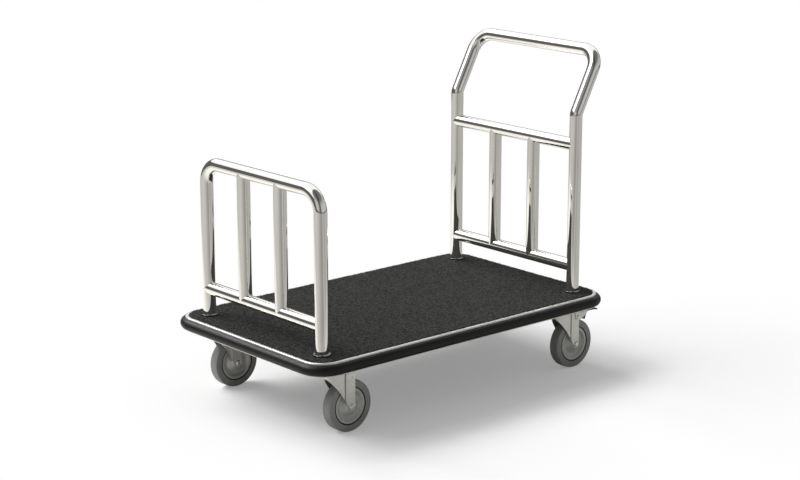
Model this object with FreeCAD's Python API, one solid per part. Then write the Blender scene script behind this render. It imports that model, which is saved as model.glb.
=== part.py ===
import FreeCAD
import Part
import math
import os
from FreeCAD import Vector

# Hotel luggage cart: a carpeted deck on four swivel casters, with a low hoop at one end and a
# tall leaning push handle at the other. Millimetres, Z up, floor at z = 0, X along the deck,
# the hoop at -X and the handle at +X. The shapes are drawn about the deck's centre, and are
# moved along X at the end, so that the origin lies under the middle of the whole cart.

# Tubes of the hoop and the handle
tube_diameter = 38.1
tube_wall = 1.5
bend_radius = 60.0
bar_spacing = 167.0
lower_rail_rise = 81.5
rail_gap = 372.0
elbow_above_rail = 93.0
elbow_throat = 1.0
bow_length = 201.0
bow_lean = 28.0

# Deck, from the bottom up
deck_length = 1113.0
deck_width = 666.0
deck_corner = 68.0
frame_height = 22.0
board_thickness = 18.0
carpet_thickness = 5.0
carpet_clearance = 0.3
post_inset_x = 69.0
post_inset_y = 73.0

# Edge trim and bumper
trim_height = 40.0
carpet_proud = 1.5
trim_rim = 4.5
trim_foot = 3.5
trim_recess = 4.0
trim_wall = 2.0
trim_lip = 5.4
trim_rounding = 2.0
trim_foot_rounding = 1.0
bumper_bulge = 15.0
bumper_wall = 4.5
trim_screw_diameter = 4.0
trim_screw_head = 8.0
trim_screw_length = 22.0
trim_screw_pitch = 180.0

# Under-frame
channel_wall = 3.0
channel_margin = 24.0
channel_clearance = 5.0
rail_width = 40.0
rail_wall = 2.5
rail_inset_y = 63.0
deck_screw_diameter = 4.5
deck_screw_head = 9.0
deck_screw_head_height = 3.0
deck_screw_cover = 4.0
deck_screw_pitch = 220.0

# Post feet and their bolts
foot_lip = 5.2
foot_thickness = 4.0
foot_edge = 0.6
spigot_clearance = 0.1
spigot_length = 40.0
post_bolt_diameter = 12.0
post_bolt_flats = 19.0
post_bolt_head = 7.5
post_bolt_engagement = 28.0
spreader_size = 48.0
spreader_thickness = 4.0
spreader_clearance = 0.5
access_hole = 30.0
bolt_hole_clearance = 0.5
thread_clearance = 0.1
thread_end = 1.0

# Casters
wheel_diameter = 150.0
tyre_width = 32.0
tyre_height = 23.0
tyre_shoulder = 3.5
tyre_crown = 0.6
groove_width = 2.6
groove_depth = 6.0
caster_setback = 45.0
caster_inset_y = 70.0
trail = 39.0
plate_hole_x = 45.0
plate_hole_y = 72.0
plate_edge_x = 11.0
plate_edge_y = 10.0
plate_thickness = 4.0
plate_corner = 8.0
plate_slot_width = 9.0
plate_slot_travel = 3.0
caster_bolt_diameter = 8.0
caster_bolt_flats = 13.0
caster_bolt_head = 5.3
caster_nut_height = 6.8

# Swivel head
kingpin_diameter = 12.0
kingpin_head = 24.0
rivet_head = 22.0
rivet_head_height = 7.0
upper_ring_radius = 21.5
upper_ring_height = 8.8
lower_ring_radius = 14.0
lower_ring_height = 6.0
ring_chamfer = 1.5
swivel_gap = 0.2
running_fit = 0.05

# Fork, with lengths along X counted from the axle or the kingpin and drops from its crown
fork_sheet = 2.5
wheel_side_gap = 2.0
joggle = 4.0
nose_bulge = 5.0
nose_front = 37.0
wing_run = 12.0
skirt_depth = 9.0
waist_before_axle = 41.0
waist_drop = 56.5
strip_before_axle = 21.5
strip_end_radius = 10.5
strip_toe_angle = 25.0
crown_rounding = 6.0
ear_length = 43.0
ear_radius = 11.5
ear_end = 4.0
ear_belly = 29.0
ear_belly_drop = 18.5

# Axle and wheel centre
axle_diameter = 10.0
axle_head_diameter = 16.0
axle_head_height = 3.5
axle_flats = 17.0
axle_nut_height = 8.0
sleeve_wall = 2.0
bush_wall = 3.0
bush_length = 14.0
boss_wall = 5.0
boss_foot = 4.0
cone_proud = 0.5
boss_gap = 0.5
dish_width = 7.0
face_inset = 1.0
face_lip = 7.0

# Brake, with the pedal's places counted from its pivot
brake_travel = 8.0
shoe_gap = 0.8
hub_gap = 2.0
pedal_headroom = 4.5
pivot_behind_axle = 5.0
pivot_diameter = 8.0
spare_hole_diameter = 4.0
shoe_start = 13.0
shoe_end = 37.5
pedal_hub_radius = 9.0
pedal_corner = 4.0
pedal_neck_x = 46.5
pedal_neck_rise = 12.0
pedal_neck_depth = 6.0
pedal_throat_x = 41.5
pedal_throat_drop = 6.5
pedal_crest_x = 72.0
pedal_crest_rise = 14.0
pedal_tread_depth = 6.0
pedal_tip_x = 92.0
pedal_tip_rise = 5.5
pedal_tip_radius = 1.8
pedal_half_width = 17.0
pedal_tread_half_width = 20.0
pedal_tread_start = 51.0
pedal_tread_full = 66.0
pedal_tread_corner = 9.0
pin_head_diameter = 12.0
pin_head_height = 2.5

# Heights of the caster, from the floor up
axle_z = wheel_diameter / 2
pivot_z = wheel_diameter + hub_gap + pedal_hub_radius
crown_bottom = pivot_z + pedal_hub_radius + pedal_headroom
crown_top = crown_bottom + fork_sheet
plate_bottom = crown_top + swivel_gap + upper_ring_height
caster_height = plate_bottom + plate_thickness

# Heights of the deck, the hoop and the handle
frame_top = caster_height + frame_height
board_top = frame_top + board_thickness
deck_top = board_top + carpet_thickness
post_bottom = deck_top + foot_thickness
lower_rail_z = deck_top + lower_rail_rise
upper_rail_z = lower_rail_z + rail_gap
elbow_z = upper_rail_z + elbow_above_rail
trim_top = deck_top - carpet_proud
trim_bottom = trim_top - trim_height
bumper_top = trim_top - trim_rim
bumper_bottom = trim_bottom + trim_foot

# Places in plan
tube_radius = tube_diameter / 2
tube_bore = tube_radius - tube_wall
foot_radius = tube_radius + foot_lip
post_x = deck_length / 2 - post_inset_x
post_y = deck_width / 2 - post_inset_y
caster_x = post_x - caster_setback
caster_y = deck_width / 2 - caster_inset_y
rail_y = deck_width / 2 - rail_inset_y
trim_depth = trim_recess + trim_wall
trim_reach = trim_depth + trim_lip
plate_length = plate_hole_y + 2 * plate_edge_y
plate_width = plate_hole_x + 2 * plate_edge_x
channel_inner = caster_x - plate_width / 2 - channel_margin
channel_outer = post_x + spreader_size / 2 + spreader_clearance + channel_wall
lean = math.radians(bow_lean)
elbow_radius = tube_radius + elbow_throat
elbow_run = elbow_radius * math.tan(lean / 2)
post_top = elbow_z - elbow_run
edge_reach = deck_length / 2 + bumper_bulge
handle_reach = post_x + bow_length * math.sin(lean) + tube_radius
shift_x = (edge_reach - handle_reach) / 2

# Places on one caster
waist_half_width = tyre_width / 2 + wheel_side_gap + fork_sheet
strip_half_width = waist_half_width + joggle
strip_inner = strip_half_width - fork_sheet
strip_front = trail - strip_before_axle
ear_face = strip_half_width + fork_sheet
ear_reach = trail + ear_length
pivot_x = trail + pivot_behind_axle
rim_radius = wheel_diameter / 2 - tyre_height
sleeve_radius = axle_diameter / 2 + sleeve_wall
bush_radius = sleeve_radius + bush_wall
boss_radius = bush_radius + boss_wall

x_axis = Vector(1, 0, 0)
y_axis = Vector(0, 1, 0)
z_axis = Vector(0, 0, 1)
origin = Vector(0, 0, 0)
os.makedirs("parts", exist_ok=True)


def save(node, *solids):
    """Write the solids of one node, moved from the deck's centre to the cart's own origin."""
    shape = solids[0] if len(solids) == 1 else Part.makeCompound(list(solids))
    shape = shape.copy()
    shape.translate(Vector(shift_x, 0, 0))
    shape.exportStep("parts/" + node + ".step")


def moved(shape, x=0, y=0, z=0):
    """A copy of the shape, shifted."""
    copy = shape.copy()
    copy.translate(Vector(x, y, z))
    return copy


def rod(radius, start, direction, length):
    """A solid cylinder from a start point along a direction."""
    return Part.makeCylinder(radius, length, start, direction)


def hex_prism(flats, start, height):
    """A six-sided head or nut that stands on its start point."""
    reach = flats / math.sqrt(3)
    corners = []
    for turn in range(7):
        angle = math.radians(60 * turn)
        corners.append(start + Vector(reach * math.cos(angle), reach * math.sin(angle), 0))
    return Part.Face(Part.makePolygon(corners)).extrude(Vector(0, 0, height))


def arc(first, middle, last):
    """The edge of the circle through three points."""
    return Part.Arc(first, middle, last).toShape()


def line(first, last):
    """A straight edge."""
    return Part.LineSegment(first, last).toShape()


def rounded_wire(corners, place):
    """A closed wire through (a, b, radius) corners, each rounded, set in space by place(a, b)."""
    count = len(corners)
    starts, middles, ends = [], [], []
    for index, (a, b, radius) in enumerate(corners):
        here = Vector(a, b, 0)
        before = Vector(*corners[index - 1][:2], 0) - here
        after = Vector(*corners[(index + 1) % count][:2], 0) - here
        half = before.getAngle(after) / 2
        before.normalize()
        after.normalize()
        back = radius / math.tan(half)
        bisector = before + after
        bisector.normalize()
        starts.append(here + before * back)
        ends.append(here + after * back)
        middles.append(here + bisector * (radius / math.sin(half) - radius))
    edges = []
    for index, (a, b, radius) in enumerate(corners):
        start, middle, end = (place(p.x, p.y) for p in (starts[index], middles[index], ends[index]))
        if radius > 0:
            edges.append(arc(start, middle, end))
        following = starts[(index + 1) % count]
        if (following - ends[index]).Length > 1e-6:
            edges.append(line(end, place(following.x, following.y)))
    return Part.Wire(edges)


def flat(z):
    """Places plan coordinates at one height."""
    return lambda x, y: Vector(x, y, z)


def upright(x, z):
    """Places side-view coordinates in the plane y = 0."""
    return Vector(x, 0, z)


def rectangle(length, width, radius):
    """The corners of a rounded rectangle about the centre."""
    a, b = length / 2, width / 2
    return [(-a, -b, radius), (a, -b, radius), (a, b, radius), (-a, b, radius)]


def slab(corners, bottom, height):
    """A plan outline with rounded corners, raised to a height."""
    return Part.Face(rounded_wire(corners, flat(bottom))).extrude(Vector(0, 0, height))


def side_slab(wire, half_width):
    """A side-view outline, spread to both sides of the plane y = 0."""
    return moved(Part.Face(wire).extrude(Vector(0, 2 * half_width, 0)), y=-half_width)


def turned(corners, axis):
    """A solid of revolution about the origin's axis, from (radius, along) corners."""
    if axis == z_axis:
        wire = rounded_wire(corners, upright)
    else:
        wire = rounded_wire(corners, lambda radius, along: Vector(radius, along, 0))
    return Part.Face(wire).revolve(origin, axis, 360)


def swept(path, radius):
    """A round solid that follows a path of tangent lines and arcs."""
    start = path[0].firstVertex().Point
    tangent = path[0].tangentAt(path[0].FirstParameter)
    ring = Part.Wire(Part.Circle(start, tangent, radius).toShape())
    return Part.Wire(path).makePipeShell([ring], True, False)


def tube(path):
    """A round tube that follows a path."""
    return swept(path, tube_radius).cut(swept(path, tube_bore))


# Hoop and handle tubes

def u_path(foot_a, foot_b, up, height):
    """Up from one foot, over a bend, across, over a second bend and down to the other foot."""
    across = foot_b - foot_a
    across.normalize()
    top_a = foot_a + up * height
    top_b = foot_b + up * height
    diagonal = bend_radius * (1 - math.sqrt(0.5))
    leg_a = top_a - up * bend_radius
    leg_b = top_b - up * bend_radius
    span_a = top_a + across * bend_radius
    span_b = top_b - across * bend_radius
    return [
        line(foot_a, leg_a),
        arc(leg_a, top_a + (across - up) * diagonal, span_a),
        line(span_a, span_b),
        arc(span_b, top_b - (across + up) * diagonal, leg_b),
        line(leg_b, foot_b),
    ]


def cross_rail(x, z, posts):
    """A level rail between two posts, with its ends coped to fit round them."""
    return tube([line(Vector(x, -post_y, z), Vector(x, post_y, z))]).cut(posts)


def upright_bar(x, y, rails, top_z):
    """A bar from the lower rail up to the tube above it, with both ends coped."""
    return tube([line(Vector(x, y, lower_rail_z), Vector(x, y, top_z))]).cut(rails)


def level_rod(x, z):
    """The solid space of a level tube, for coping other tubes."""
    return rod(tube_radius, Vector(x, -post_y, z), y_axis, 2 * post_y)


def build_hoop():
    x = -post_x
    foot_right = Vector(x, -post_y, post_bottom)
    foot_left = Vector(x, post_y, post_bottom)
    path = u_path(foot_right, foot_left, z_axis, upper_rail_z - post_bottom)
    outside = swept(path, tube_radius)
    save("hoop_tube", tube(path))
    save("hoop_lower_rail", cross_rail(x, lower_rail_z, outside))
    rails = outside.fuse(level_rod(x, lower_rail_z))
    save("hoop_bar_right", upright_bar(x, -bar_spacing / 2, rails, upper_rail_z))
    save("hoop_bar_left", upright_bar(x, bar_spacing / 2, rails, upper_rail_z))


def elbow(y):
    """A tight bend from the top of one post over to the bow's lean."""
    centre = Vector(post_x + elbow_radius, y, post_top)
    turns = (0, lean / 2, lean)
    return arc(*[centre + Vector(-math.cos(turn), 0, math.sin(turn)) * elbow_radius for turn in turns])


def bow_path():
    """The leaning U of the handle, led down through an elbow on to each post."""
    direction = Vector(math.sin(lean), 0, math.cos(lean))
    start = Vector(post_x, 0, elbow_z) + direction * elbow_run
    across = Vector(0, post_y, 0)
    bow = u_path(start - across, start + across, direction, bow_length - elbow_run)
    return [elbow(-post_y)] + bow + [elbow(post_y)]


def build_handle():
    x = post_x
    post_length = post_top - post_bottom
    for name, y in (("handle_post_right", -post_y), ("handle_post_left", post_y)):
        save(name, tube([line(Vector(x, y, post_bottom), Vector(x, y, post_top))]))
    save("handle_bow", tube(bow_path()))
    posts = Part.makeCompound([
        rod(tube_radius, Vector(x, -post_y, post_bottom), z_axis, post_length),
        rod(tube_radius, Vector(x, post_y, post_bottom), z_axis, post_length),
    ])
    save("handle_lower_rail", cross_rail(x, lower_rail_z, posts))
    save("handle_upper_rail", cross_rail(x, upper_rail_z, posts))
    rails = level_rod(x, lower_rail_z).fuse(level_rod(x, upper_rail_z))
    save("handle_bar_right", upright_bar(x, -bar_spacing / 2, rails, upper_rail_z))
    save("handle_bar_left", upright_bar(x, bar_spacing / 2, rails, upper_rail_z))


# Feet and bolts of the posts

def post_places():
    """The plan position of each post."""
    return [(x, y) for x in (-post_x, post_x) for y in (-post_y, post_y)]


def build_post_fixings():
    spigot_radius = tube_bore - spigot_clearance
    foot = turned([
        (post_bolt_diameter / 2 + thread_clearance, board_top, 0),
        (foot_radius, board_top, 0),
        (foot_radius, post_bottom, foot_edge),
        (spigot_radius, post_bottom, 0),
        (spigot_radius, post_bottom + spigot_length - foot_edge, 0),
        (spigot_radius - foot_edge, post_bottom + spigot_length, 0),
        (post_bolt_diameter / 2 + thread_clearance, post_bottom + spigot_length, 0),
    ], z_axis)
    spreader_bottom = frame_top - spreader_thickness
    hole_radius = post_bolt_diameter / 2 + bolt_hole_clearance
    hole = rod(hole_radius, Vector(0, 0, spreader_bottom), z_axis, spreader_thickness)
    square = rectangle(spreader_size, spreader_size, plate_corner)
    spreader = slab(square, spreader_bottom, spreader_thickness).cut(hole)
    head = hex_prism(post_bolt_flats, Vector(0, 0, spreader_bottom - post_bolt_head), post_bolt_head)
    shank_length = post_bottom + post_bolt_engagement - spreader_bottom
    bolt = head.fuse(rod(post_bolt_diameter / 2, Vector(0, 0, spreader_bottom), z_axis, shank_length))
    places = post_places()
    save("post_feet", *[moved(foot, x, y) for x, y in places])
    save("post_spreader_plates", *[moved(spreader, x, y) for x, y in places])
    save("post_bolts", *[moved(bolt, x, y) for x, y in places])


# Deck

def corner_centre(quarter):
    """The centre of the deck's rounded corner, counted from +X +Y anticlockwise."""
    sign_x = (1, -1, -1, 1)[quarter % 4]
    sign_y = (1, 1, -1, -1)[quarter % 4]
    return Vector(sign_x * (deck_length / 2 - deck_corner), sign_y * (deck_width / 2 - deck_corner), 0)


def edge_ring(section):
    """A section in the plane y = 0, led round the deck's edge along its sides and corners."""
    pieces = []
    for quarter in range(4):
        centre = corner_centre(quarter)
        first = section.copy()
        first.rotate(origin, z_axis, 90 * quarter)
        first.translate(centre)
        pieces.append(first.revolve(centre, z_axis, 90))
        last = section.copy()
        last.rotate(origin, z_axis, 90 * (quarter + 1))
        last.translate(centre)
        pieces.append(last.extrude(corner_centre(quarter + 1) - centre))
    return pieces[0].multiFuse(pieces[1:]).removeSplitter()


def from_edge(inward, z):
    """Places a section point by its distance inside the trim's outer face and its height."""
    return Vector(deck_corner - inward, 0, z)


def side_positions(length):
    """Evenly spaced places along one straight side."""
    run = length - 2 * deck_corner
    count = int(run / trim_screw_pitch) + 1
    return [-run / 2 + run * (index + 0.5) / count for index in range(count)]


def trim_screws():
    """Countersunk screws through the trim's web into the edge of the board."""
    z = frame_top + board_thickness / 2
    radius = trim_screw_diameter / 2
    head = Part.makeCone(trim_screw_head / 2, radius, trim_wall, origin, x_axis)
    screw = head.fuse(rod(radius, Vector(trim_wall, 0, 0), x_axis, trim_screw_length - trim_wall))
    face_x = deck_length / 2 - trim_recess
    face_y = deck_width / 2 - trim_recess
    screws = []
    for turn, place in ((0, -face_x), (180, face_x)):
        for y in side_positions(deck_width):
            piece = screw.copy()
            piece.rotate(origin, z_axis, turn)
            screws.append(moved(piece, place, y, z))
    for turn, place in ((90, -face_y), (270, face_y)):
        for x in side_positions(deck_length):
            piece = screw.copy()
            piece.rotate(origin, z_axis, turn)
            screws.append(moved(piece, x, place, z))
    return screws


def deck_screws():
    """Screws up through the webs of the rails into the board."""
    web_bottom = frame_top - rail_wall
    head_start = Vector(0, 0, web_bottom - deck_screw_head_height)
    head = rod(deck_screw_head / 2, head_start, z_axis, deck_screw_head_height)
    shank_length = board_top - deck_screw_cover - web_bottom
    screw = head.fuse(rod(deck_screw_diameter / 2, Vector(0, 0, web_bottom), z_axis, shank_length))
    places = [(deck_screw_pitch * step, side * rail_y) for step in (-1, 0, 1) for side in (-1, 1)]
    places += [(0, side * deck_screw_pitch / 2) for side in (-1, 1)]
    return [moved(screw, x, y) for x, y in places]


def open_channel(length, web_at_top, wall, width):
    """A channel along X with its web at the top or the bottom of the under-frame."""
    outer = Part.makeBox(length, width, frame_height, Vector(-length / 2, -width / 2, caster_height))
    rise = 0 if web_at_top else wall
    hollow = Part.makeBox(length, width - 2 * wall, frame_height - wall,
                          Vector(-length / 2, wall - width / 2, caster_height + rise))
    return outer.cut(hollow)


def channel_half_length():
    """How far an end channel reaches to each side before it meets the trim's rounded corner."""
    corner = corner_centre(0)
    radius = deck_corner - trim_depth - channel_clearance
    along = max(channel_outer - corner.x, 0)
    return corner.y + math.sqrt(radius ** 2 - along ** 2)


def build_frame(screws):
    channel_width = channel_outer - channel_inner
    channel_x = (channel_outer + channel_inner) / 2
    bolt_radius = caster_bolt_diameter / 2 + bolt_hole_clearance
    for name, side in (("deck_channel_hoop_end", -1), ("deck_channel_handle_end", 1)):
        channel = open_channel(2 * channel_half_length(), False, channel_wall, channel_width)
        channel.rotate(origin, z_axis, 90)
        channel = moved(channel, side * channel_x)
        holes = [rod(bolt_radius, Vector(x, y, caster_height), z_axis, channel_wall)
                 for x, y in caster_bolt_places() if x * side > 0]
        holes += [rod(access_hole / 2, Vector(x, y, caster_height), z_axis, channel_wall)
                  for x, y in post_places() if x * side > 0]
        save(name, channel.cut(Part.makeCompound(holes)))
    rail = open_channel(2 * channel_inner, True, rail_wall, rail_width)
    cross = open_channel(2 * rail_y - rail_width, True, rail_wall, rail_width)
    cross.rotate(origin, z_axis, 90)
    rails = [moved(rail, y=-rail_y), moved(rail, y=rail_y), cross]
    save("deck_rails", *[piece.cut(screws) for piece in rails])


def build_deck():
    deck_screw_set = deck_screws()
    trim_screw_set = trim_screws()
    deck_screw_space = Part.makeCompound(deck_screw_set)
    trim_screw_space = Part.makeCompound(trim_screw_set)
    build_frame(deck_screw_space)
    save("deck_screws", *deck_screw_set)
    save("trim_screws", *trim_screw_set)

    hole_radius = post_bolt_diameter / 2 + bolt_hole_clearance
    bolt_holes = Part.makeCompound([
        rod(hole_radius, Vector(x, y, frame_top), z_axis, board_thickness)
        for x, y in post_places()])
    foot_holes = Part.makeCompound([
        rod(foot_radius + carpet_clearance, Vector(x, y, board_top), z_axis, carpet_thickness)
        for x, y in post_places()])
    board_length = deck_length - 2 * trim_depth
    board_width = deck_width - 2 * trim_depth
    board_outline = rectangle(board_length, board_width, deck_corner - trim_depth)
    board = slab(board_outline, frame_top, board_thickness)
    save("deck_board", board.cut(bolt_holes).cut(deck_screw_space).cut(trim_screw_space))

    inset = trim_reach + carpet_clearance
    carpet_outline = rectangle(deck_length - 2 * inset, deck_width - 2 * inset, deck_corner - inset)
    save("carpet", slab(carpet_outline, board_top, carpet_thickness).cut(foot_holes))

    trim_section = Part.Face(rounded_wire([
        (0, bumper_top, 0),
        (0, trim_top, trim_rounding),
        (trim_reach, trim_top, trim_rounding),
        (trim_reach, board_top, 0),
        (trim_reach - trim_wall, board_top, 0),
        (trim_reach - trim_wall, trim_top - trim_wall, 0),
        (trim_depth, trim_top - trim_wall, 0),
        (trim_depth, trim_bottom, 0),
        (0, trim_bottom, trim_foot_rounding),
        (0, bumper_bottom, 0),
        (trim_recess, bumper_bottom, 0),
        (trim_recess, bumper_top, 0),
    ], from_edge))
    save("edge_trim", edge_ring(trim_section).cut(trim_screw_space))

    middle = (bumper_top + bumper_bottom) / 2
    outline = Part.Wire([
        line(from_edge(0, bumper_bottom), from_edge(trim_recess, bumper_bottom)),
        line(from_edge(trim_recess, bumper_bottom), from_edge(trim_recess, bumper_top)),
        line(from_edge(trim_recess, bumper_top), from_edge(0, bumper_top)),
        arc(from_edge(0, bumper_top), from_edge(-bumper_bulge, middle), from_edge(0, bumper_bottom)),
    ])
    core_low = from_edge(0, bumper_bottom + bumper_wall)
    core_high = from_edge(0, bumper_top - bumper_wall)
    core_front = from_edge(bumper_wall - bumper_bulge, middle)
    core = Part.Wire([arc(core_high, core_front, core_low), line(core_low, core_high)])
    save("bumper", edge_ring(Part.Face(outline).cut(Part.Face(core)).Faces[0]))


# Casters

def caster_places():
    """The name and the plan position of each caster's kingpin."""
    return [
        ("hoop_right", -caster_x, -caster_y),
        ("hoop_left", -caster_x, caster_y),
        ("handle_right", caster_x, -caster_y),
        ("handle_left", caster_x, caster_y),
    ]


def plate_holes():
    """The bolt positions of one top plate about its kingpin."""
    return [(x * plate_hole_x / 2, y * plate_hole_y / 2) for x in (-1, 1) for y in (-1, 1)]


def caster_bolt_places():
    """The plan position of every bolt that holds a caster."""
    return [(cx + x, cy + y) for name, cx, cy in caster_places() for x, y in plate_holes()]


def top_plate():
    """A pressed plate with slotted holes and a countersunk hole for the kingpin."""
    plate = slab(rectangle(plate_width, plate_length, plate_corner), plate_bottom, plate_thickness)
    slot_length = plate_slot_width + plate_slot_travel
    slot_corner = plate_slot_width / 2 - 0.01
    slot = slab(rectangle(slot_length, plate_slot_width, slot_corner), plate_bottom, plate_thickness)
    for x, y in plate_holes():
        plate = plate.cut(moved(slot, x, y))
    return plate.cut(kingpin())


def kingpin():
    """A rivet through the plate, the rings and the fork's crown, countersunk at the top."""
    ring_bottom = crown_bottom - swivel_gap - lower_ring_height
    return turned([
        (0, ring_bottom - rivet_head_height, 0),
        (rivet_head / 2, ring_bottom - rivet_head_height, rivet_head_height * 0.8),
        (rivet_head / 2, ring_bottom, 0),
        (kingpin_diameter / 2, ring_bottom, 0),
        (kingpin_diameter / 2, plate_bottom, 0),
        (kingpin_head / 2, caster_height, 0),
        (0, caster_height, 0),
    ], z_axis)


def swivel_ring(radius, bottom, top):
    """A bearing ring round the kingpin with chamfered rims."""
    return turned([
        (kingpin_diameter / 2, bottom, 0),
        (radius - ring_chamfer, bottom, 0),
        (radius, bottom + ring_chamfer, 0),
        (radius, top - ring_chamfer, 0),
        (radius - ring_chamfer, top, 0),
        (kingpin_diameter / 2, top, 0),
    ], z_axis)


def fork_plan(inset, back):
    """The fork's plan outline: a bulging nose that draws in to a waist, and strips joggled outwards."""
    wing = waist_half_width + nose_bulge - inset
    waist = waist_half_width - inset
    strip = strip_half_width - inset
    wing_x = strip_front - wing_run
    step_x = strip_front + inset
    turn_radius = (wing_run ** 2 + nose_bulge ** 2) / (2 * nose_bulge)
    turn_drop = turn_radius - math.sqrt(turn_radius ** 2 - (wing_run / 2) ** 2)
    nose = Part.Ellipse(Vector(wing_x, 0, 0), wing_x + nose_front - inset, wing)
    edges = [Part.Arc(nose, math.pi / 2, 3 * math.pi / 2).toShape()]
    edges.append(line(Vector(back, -strip, 0), Vector(back, strip, 0)))
    for side in (-1, 1):
        turn = Vector(wing_x + wing_run / 2, side * (wing - turn_drop), 0)
        edges.append(arc(Vector(wing_x, side * wing, 0), turn, Vector(strip_front, side * waist, 0)))
        if inset:
            edges.append(line(Vector(strip_front, side * waist, 0), Vector(step_x, side * waist, 0)))
        edges.append(line(Vector(step_x, side * waist, 0), Vector(step_x, side * strip, 0)))
        edges.append(line(Vector(step_x, side * strip, 0), Vector(back, side * strip, 0)))
    return Part.Face(Part.Wire(Part.__sortEdges__(edges)))


def fork_side():
    """The fork's side view: skirt, concave leading edge, round end at the axle, trailing edge."""
    front = -nose_front - fork_sheet
    high = crown_top + fork_sheet
    back = trail + strip_end_radius
    skirt = upright(front, crown_top - skirt_depth)
    waist = upright(trail - waist_before_axle, crown_top - waist_drop)
    low = upright(trail, axle_z - strip_end_radius)
    toe_angle = math.radians(strip_toe_angle)
    toe_x = trail - strip_end_radius * math.cos(toe_angle)
    toe = upright(toe_x, axle_z - strip_end_radius * math.sin(toe_angle))
    return Part.Wire([
        line(upright(front, high), skirt),
        arc(skirt, waist, toe),
        arc(toe, low, upright(back, axle_z)),
        line(upright(back, axle_z), upright(back, high)),
        line(upright(back, high), upright(front, high)),
    ])


def ear_plates():
    """The brake's two ears: round lobes about the pivot, outside the strips and reaching behind them."""
    top = crown_bottom
    front = pivot_x - ear_radius
    low = upright(pivot_x, pivot_z - ear_radius)
    corner = ear_radius * math.sqrt(0.5)
    bend = upright(pivot_x - corner, pivot_z - corner)
    tip = upright(ear_reach, top - ear_end)
    lobe = Part.Wire([
        line(upright(front, top), upright(front, pivot_z)),
        arc(upright(front, pivot_z), bend, low),
        arc(low, upright(trail + ear_belly, crown_top - ear_belly_drop), tip),
        line(tip, upright(ear_reach, top)),
        line(upright(ear_reach, top), upright(front, top)),
    ])
    both = side_slab(lobe, ear_face)
    return both.cut(side_slab(lobe, strip_half_width)).Solids


def fork_end(half_width, top, rounding):
    """The fork's end view, with its upper corners rounded, as a bar along X."""
    corners = [
        (-half_width, 0, 0),
        (half_width, 0, 0),
        (half_width, top, rounding),
        (-half_width, top, rounding),
    ]
    wire = rounded_wire(corners, lambda y, z: Vector(-ear_reach, y, z))
    return Part.Face(wire).extrude(Vector(3 * ear_reach, 0, 0))


def fork(with_ears):
    """A pressed fork: the shell between an outer and an inner form, trimmed to its side view."""
    tall = Vector(0, 0, caster_height)
    outer = fork_plan(0, 2 * ear_reach).extrude(tall)
    outer = outer.common(fork_end(strip_half_width, crown_top, crown_rounding))
    inner = fork_plan(fork_sheet, 2 * ear_reach).extrude(tall)
    inner = inner.common(fork_end(strip_inner, crown_bottom, crown_rounding - fork_sheet))
    shell = outer.cut(inner).common(side_slab(fork_side(), 2 * strip_half_width))
    if with_ears:
        shell = shell.fuse(ear_plates()).removeSplitter()
    across = 2 * ear_face
    side_hole_x = pivot_x if with_ears else trail
    side_hole_radius = (pivot_diameter if with_ears else spare_hole_diameter) / 2
    holes = [
        rod(kingpin_diameter / 2 + running_fit, origin, z_axis, caster_height),
        rod(axle_diameter / 2, Vector(trail, -across, axle_z), y_axis, 2 * across),
        rod(side_hole_radius, Vector(side_hole_x, -across, pivot_z), y_axis, 2 * across),
    ]
    return shell.cut(Part.makeCompound(holes)).Solids[0]


def on_axle(shape):
    """Moves a shape turned about the Y axis to the wheel's axle."""
    return moved(shape, trail, 0, axle_z)


def axle_bolt():
    """A pan-head bolt through both legs of the fork, and its nut."""
    face = strip_half_width
    radius = axle_diameter / 2
    bolt = turned([
        (0, -face - axle_head_height, 0),
        (axle_head_diameter / 2, -face - axle_head_height, axle_head_height * 0.8),
        (axle_head_diameter / 2, -face, 0),
        (radius, -face, 0),
        (radius, face + axle_nut_height + thread_end, 0.8),
        (0, face + axle_nut_height + thread_end, 0),
    ], y_axis)
    nut = hex_prism(axle_flats, origin, axle_nut_height)
    nut = nut.cut(rod(radius, origin, z_axis, axle_nut_height))
    nut.rotate(origin, x_axis, -90)
    return [on_axle(bolt), on_axle(moved(nut, y=face))]


def axle_sleeve():
    """A spacer tube on the bolt, clamped between the legs, on which the bushes turn."""
    bore = axle_diameter / 2
    return on_axle(turned([
        (bore, -strip_inner, 0),
        (sleeve_radius, -strip_inner, 0),
        (sleeve_radius, strip_inner, 0),
        (bore, strip_inner, 0),
    ], y_axis))


def mirrored_profile(half):
    """A section made of (radius, along, rounding) corners on the +Y side and their mirror image."""
    return half + [(radius, -along, rounding) for radius, along, rounding in reversed(half)]


def wheel_rim():
    """A dished rim with a boss on a shallow cone on each face, and a lip at its edge."""
    face = tyre_width / 2 - face_inset
    cone = tyre_width / 2 + cone_proud
    boss = strip_inner - boss_gap
    dish_edge = rim_radius - 2 * face_lip
    return on_axle(turned(mirrored_profile([
        (bush_radius, boss, 0),
        (boss_radius, boss, 1.5),
        (boss_radius + boss_foot, cone, 2.0),
        (dish_edge - dish_width, face - face_lip, 4.0),
        (dish_edge, face - face_lip, 2.0),
        (rim_radius - face_lip, face, 1.0),
        (rim_radius, face, 0.8),
    ]), y_axis))


def tyre():
    """A tyre with upright walls, a slightly crowned tread and a groove next to the rim."""
    side = tyre_width / 2
    radius = wheel_diameter / 2
    return on_axle(turned(mirrored_profile([
        (rim_radius, side - groove_depth, 0),
        (rim_radius + groove_width, side - groove_depth, 0),
        (rim_radius + groove_width, side, 1.0),
        (radius - tyre_crown, side, tyre_shoulder),
        (radius, side / 3, 0),
    ]), y_axis))


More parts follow.
